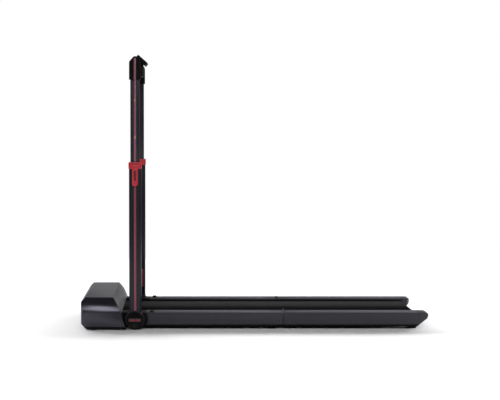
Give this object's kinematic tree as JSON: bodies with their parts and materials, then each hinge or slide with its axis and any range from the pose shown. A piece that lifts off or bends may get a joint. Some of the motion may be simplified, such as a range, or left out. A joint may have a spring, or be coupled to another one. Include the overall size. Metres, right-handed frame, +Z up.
{
  "type": "folding treadmill",
  "caption": "Thin folding treadmill with a front motor hood, a deck hinged in half and a U handrail on telescoping folding posts.",
  "frame": {"origin": "on the floor at the middle of the machine's footprint", "axes": "+X from the motor hood to the tail, +Y across, +Z up"},
  "size_m": [1.444, 0.724, 1.148],
  "materials": {
    "hood_plastic": "satin metallic",
    "black_plastic": "matte",
    "rubber": "matte",
    "window": "gloss",
    "steel": "brushed",
    "painted_steel": "satin",
    "cast_metal": "plain",
    "board": "matte",
    "belt": "textured",
    "rail": "satin",
    "post": "satin",
    "red": "satin",
    "foam": "foam",
    "circuit": "matte"
  },
  "bodies": {
    "base": {"hood_cover": "hood_plastic", "hood_end_caps": "hood_plastic", "hood_base": "black_plastic", "front_rubber_feet": "rubber", "inlet_panel": "black_plastic", "front_axles": "steel", "motor_can": "painted_steel", "motor_saddles": "cast_metal", "drive_belt": "rubber", "motor_controller": "cast_metal", "control_board": "circuit", "belt_front": "belt", "front_deck_board": "board", "front_crossmembers": "painted_steel", "front_hinge_leaves": "painted_steel", "hinge_pins": "steel", "front_beams": "painted_steel", "front_rails": "rail", "pivot_brackets": "painted_steel", "pivot_covers": "rail"},
    "rear_deck": {"rear_rubber_feet": "rubber", "rear_roller_axle": "steel", "belt_rear": "belt", "rear_deck_board": "board", "rear_crossmembers": "painted_steel", "rear_hinge_leaves": "painted_steel", "rear_beams": "painted_steel", "rear_rails": "rail", "tail_caps": "rail"},
    "front_roller": {"front_roller": "steel", "front_roller_bearings": "steel"},
    "rear_roller": {"rear_roller": "steel", "rear_roller_bearings": "steel"},
    "motor_rotor": {"motor_rotor": "steel"},
    "power_rocker": {"switch_rocker": "black_plastic"},
    "wheel_left": {"transport_wheel_left": "rubber"},
    "wheel_right": {"transport_wheel_right": "rubber"},
    "handrail_lower": {"pivot_hubs": "post", "lower_posts": "post", "lower_trim": "red", "guide_bushes": "black_plastic", "clamp_collars": "red", "lever_pins": "steel"},
    "lever_left": {"clamp_lever_left": "red"},
    "lever_right": {"clamp_lever_right": "red"},
    "knob_left": {"lock_knob_left": "black_plastic"},
    "knob_right": {"lock_knob_right": "black_plastic"},
    "handrail_upper": {"upper_posts": "post", "upper_trim": "red", "post_glides": "black_plastic", "top_caps": "black_plastic", "crossbar": "post", "grips": "foam", "console_shell": "black_plastic", "console_neck": "black_plastic", "console_window": "window"},
    "button_1": {"console_button_1": "rubber"},
    "button_2": {"console_button_2": "rubber"},
    "button_3": {"console_button_3": "rubber"}
  },
  "joints": [
    {"name": "deck_fold", "type": "hinge", "parent": "base", "child": "rear_deck", "pos_m": [0.1215, 0, 0.071], "axis": [0, -1, 0], "range_deg": [0, 180]},
    {"name": "handrail_fold", "type": "hinge", "parent": "base", "child": "handrail_lower", "pos_m": [-0.4985, 0, 0.041], "axis": [0, 1, 0], "range_deg": [0, 84]},
    {"name": "handrail_slide", "type": "slide", "parent": "handrail_lower", "child": "handrail_upper", "axis": [0, 0, 1], "range_m": [-0.32, 0]},
    {"name": "front_roller_spin", "type": "hinge", "parent": "base", "child": "front_roller", "pos_m": [-0.577, 0, 0.0385], "axis": [0, 1, 0], "continuous": true},
    {"name": "rear_roller_spin", "type": "hinge", "parent": "rear_deck", "child": "rear_roller", "pos_m": [0.67, 0, 0.0385], "axis": [0, 1, 0], "continuous": true},
    {"name": "motor_spin", "type": "hinge", "parent": "base", "child": "motor_rotor", "pos_m": [-0.656, 0, 0.064], "axis": [0, 1, 0], "continuous": true},
    {"name": "power_rocker_tilt", "type": "hinge", "parent": "base", "child": "power_rocker", "pos_m": [-0.7165, 0.176, 0.06], "axis": [0, 1, 0], "range_deg": [0, 16]},
    {"name": "wheel_left_spin", "type": "hinge", "parent": "base", "child": "wheel_left", "pos_m": [-0.692, -0.3, 0.022], "axis": [0, 1, 0], "continuous": true},
    {"name": "lever_left_flip", "type": "hinge", "parent": "handrail_lower", "child": "lever_left", "pos_m": [-0.497, -0.3575, 0.681], "axis": [-1, 0, 0], "range_deg": [0, 110]},
    {"name": "knob_left_turn", "type": "hinge", "parent": "handrail_lower", "child": "knob_left", "pos_m": [-0.4985, -0.35, 0.041], "axis": [0, 1, 0], "range_deg": [0, 90]},
    {"name": "wheel_right_spin", "type": "hinge", "parent": "base", "child": "wheel_right", "pos_m": [-0.692, 0.3, 0.022], "axis": [0, 1, 0], "continuous": true},
    {"name": "lever_right_flip", "type": "hinge", "parent": "handrail_lower", "child": "lever_right", "pos_m": [-0.497, 0.3575, 0.681], "axis": [1, 0, 0], "range_deg": [0, 110]},
    {"name": "knob_right_turn", "type": "hinge", "parent": "handrail_lower", "child": "knob_right", "pos_m": [-0.4985, 0.35, 0.041], "axis": [0, 1, 0], "range_deg": [0, 90]},
    {"name": "button_1_press", "type": "slide", "parent": "handrail_upper", "child": "button_1", "axis": [-0.6626, 0, -0.749], "range_m": [0, 0.0015], "stiffness_N_per_m": 400, "springref_m": -0.0005},
    {"name": "button_2_press", "type": "slide", "parent": "handrail_upper", "child": "button_2", "axis": [-0.6626, 0, -0.749], "range_m": [0, 0.0015], "stiffness_N_per_m": 400, "springref_m": -0.0005},
    {"name": "button_3_press", "type": "slide", "parent": "handrail_upper", "child": "button_3", "axis": [-0.6626, 0, -0.749], "range_m": [0, 0.0015], "stiffness_N_per_m": 400, "springref_m": -0.0005}
  ],
  "couplings": [
    {"joint": "rear_roller_spin", "follows": "front_roller_spin", "ratio": 1},
    {"joint": "motor_spin", "follows": "front_roller_spin", "ratio": 2}
  ]
}
